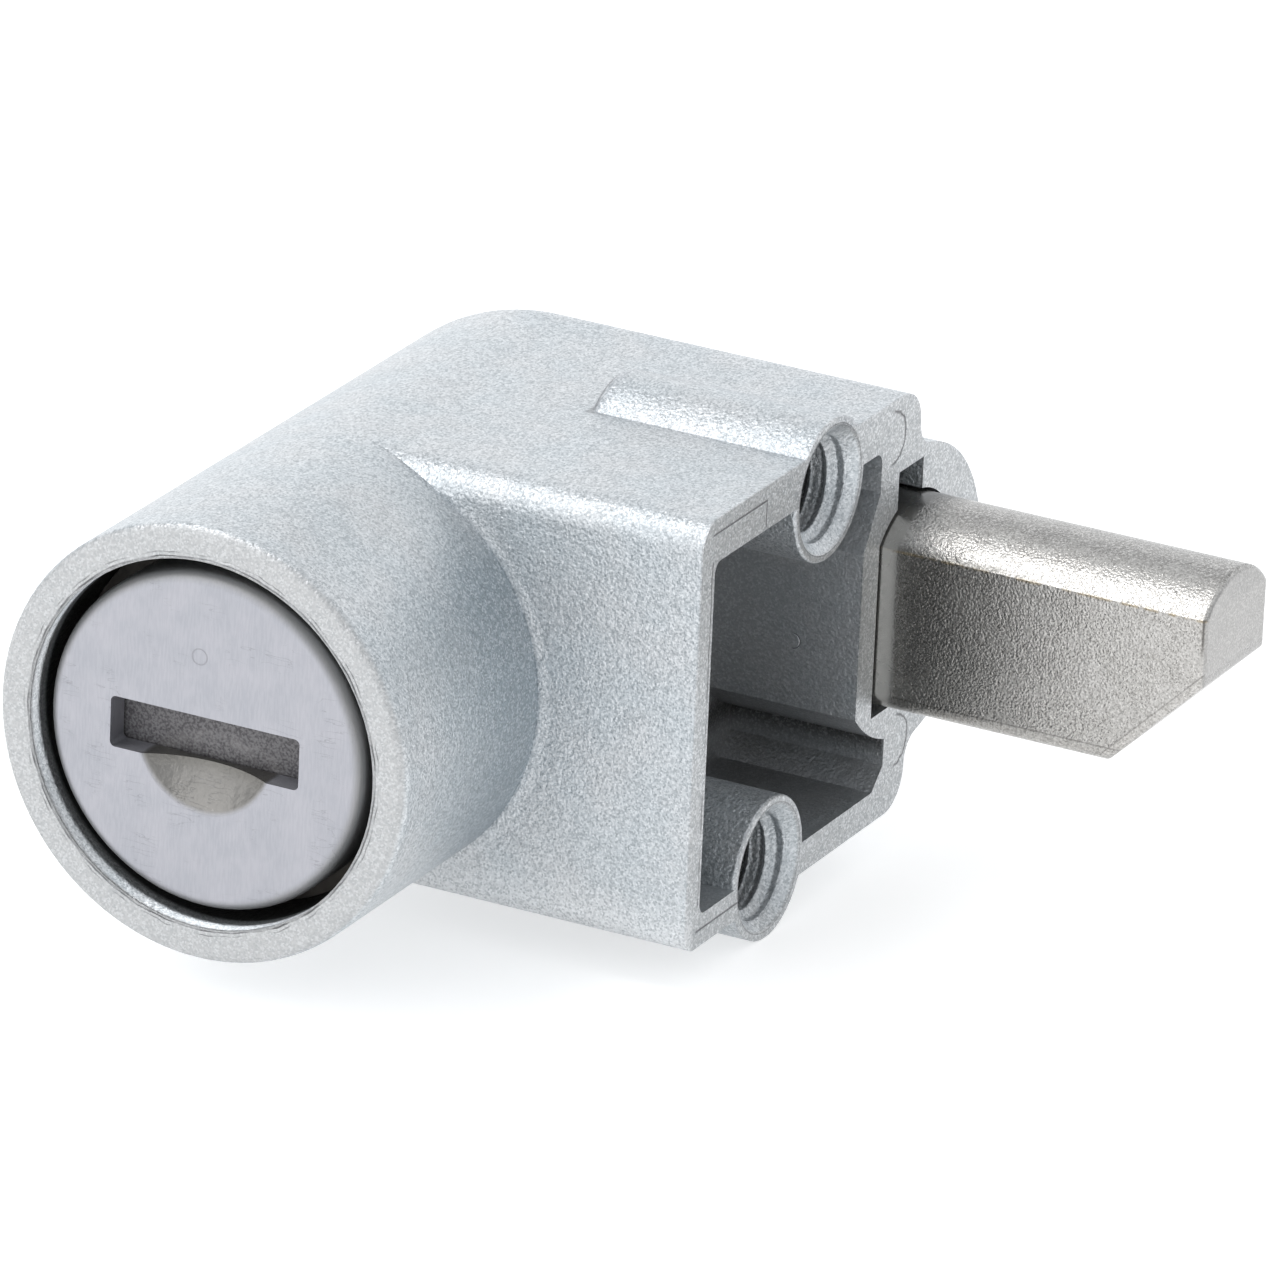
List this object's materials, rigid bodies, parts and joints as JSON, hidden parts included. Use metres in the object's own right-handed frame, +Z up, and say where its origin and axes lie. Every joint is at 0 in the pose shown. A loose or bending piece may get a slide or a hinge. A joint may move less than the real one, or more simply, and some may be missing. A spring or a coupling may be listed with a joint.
{
  "type": "bike battery lock",
  "caption": "Slam-latch lock for an e-bike battery: cast housing with a key barrel, tapped screw bosses and a ramped bolt that slides out sideways.",
  "frame": {"origin": "centre of the barrel's front ring face", "axes": "+X along the latch bolt as it comes out, +Y back along the barrel from the key side, +Z up"},
  "size_m": [0.0436, 0.0395, 0.023],
  "materials": {
    "zinc_casting": "zinc plated, matte grain",
    "nickel_bolt": "satin nickel plate",
    "plated_cap": "smooth satin plate",
    "dark_steel": "dark matte",
    "raw_zinc": "as cast",
    "steel": "zinc plated",
    "spring_steel": "drawn wire",
    "brass_wafer": "stamped"
  },
  "bodies": {
    "housing": {"housing": "zinc_casting", "cylinder_shell": "raw_zinc", "shell_pin": "steel", "bolt_spring": "spring_steel"},
    "plug": {"key_plug": "raw_zinc", "face_cap": "plated_cap", "plug_clip": "spring_steel", "drive_cam": "raw_zinc", "cam_washer": "steel", "cam_screw": "steel", "shutter_pin": "steel", "shutter_spring": "spring_steel", "wafer_spring_1": "spring_steel", "wafer_spring_2": "spring_steel", "wafer_spring_3": "spring_steel", "wafer_spring_4": "spring_steel", "wafer_spring_5": "spring_steel", "wafer_spring_6": "spring_steel"},
    "bolt": {"bolt": "nickel_bolt"},
    "shutter": {"dust_shutter": "dark_steel"},
    "wafer_1": {"wafer_1": "brass_wafer"},
    "wafer_2": {"wafer_2": "brass_wafer"},
    "wafer_3": {"wafer_3": "brass_wafer"},
    "wafer_4": {"wafer_4": "brass_wafer"},
    "wafer_5": {"wafer_5": "brass_wafer"},
    "wafer_6": {"wafer_6": "brass_wafer"}
  },
  "joints": [
    {"name": "plug_turn", "type": "hinge", "parent": "housing", "child": "plug", "pos_m": [0, 0, 0], "axis": [0, -1, 0], "range_deg": [0, 90]},
    {"name": "bolt_slide", "type": "slide", "parent": "housing", "child": "bolt", "axis": [-1, 0, 0], "range_m": [0, 0.0075], "stiffness_N_per_m": 30, "springref_m": -0.004, "deforming": ["bolt_spring"]},
    {"name": "shutter_swing", "type": "hinge", "parent": "plug", "child": "shutter", "pos_m": [0, 0.00235, 0.0022], "axis": [1, 0, 0], "range_deg": [0, 85], "stiffness_Nm_per_rad": 0.0005, "springref_deg": -17.19, "deforming": ["shutter_spring"]},
    {"name": "wafer_1_slide", "type": "slide", "parent": "plug", "child": "wafer_1", "axis": [1, 0, 0], "range_m": [0, 0.0008], "deforming": ["wafer_spring_1"]},
    {"name": "wafer_2_slide", "type": "slide", "parent": "plug", "child": "wafer_2", "axis": [-1, 0, 0], "range_m": [0, 0.0008], "deforming": ["wafer_spring_2"]},
    {"name": "wafer_3_slide", "type": "slide", "parent": "plug", "child": "wafer_3", "axis": [1, 0, 0], "range_m": [0, 0.0008], "deforming": ["wafer_spring_3"]},
    {"name": "wafer_4_slide", "type": "slide", "parent": "plug", "child": "wafer_4", "axis": [-1, 0, 0], "range_m": [0, 0.0008], "deforming": ["wafer_spring_4"]},
    {"name": "wafer_5_slide", "type": "slide", "parent": "plug", "child": "wafer_5", "axis": [1, 0, 0], "range_m": [0, 0.0008], "deforming": ["wafer_spring_5"]},
    {"name": "wafer_6_slide", "type": "slide", "parent": "plug", "child": "wafer_6", "axis": [-1, 0, 0], "range_m": [0, 0.0008], "deforming": ["wafer_spring_6"]}
  ],
  "couplings": [
    {"joint": "bolt_slide", "follows": "plug_turn", "m_per_rad": 0.0047717},
    {"joint": "wafer_2_slide", "follows": "wafer_1_slide", "ratio": 1},
    {"joint": "wafer_3_slide", "follows": "wafer_1_slide", "ratio": 1},
    {"joint": "wafer_4_slide", "follows": "wafer_1_slide", "ratio": 1},
    {"joint": "wafer_5_slide", "follows": "wafer_1_slide", "ratio": 1},
    {"joint": "wafer_6_slide", "follows": "wafer_1_slide", "ratio": 1}
  ]
}
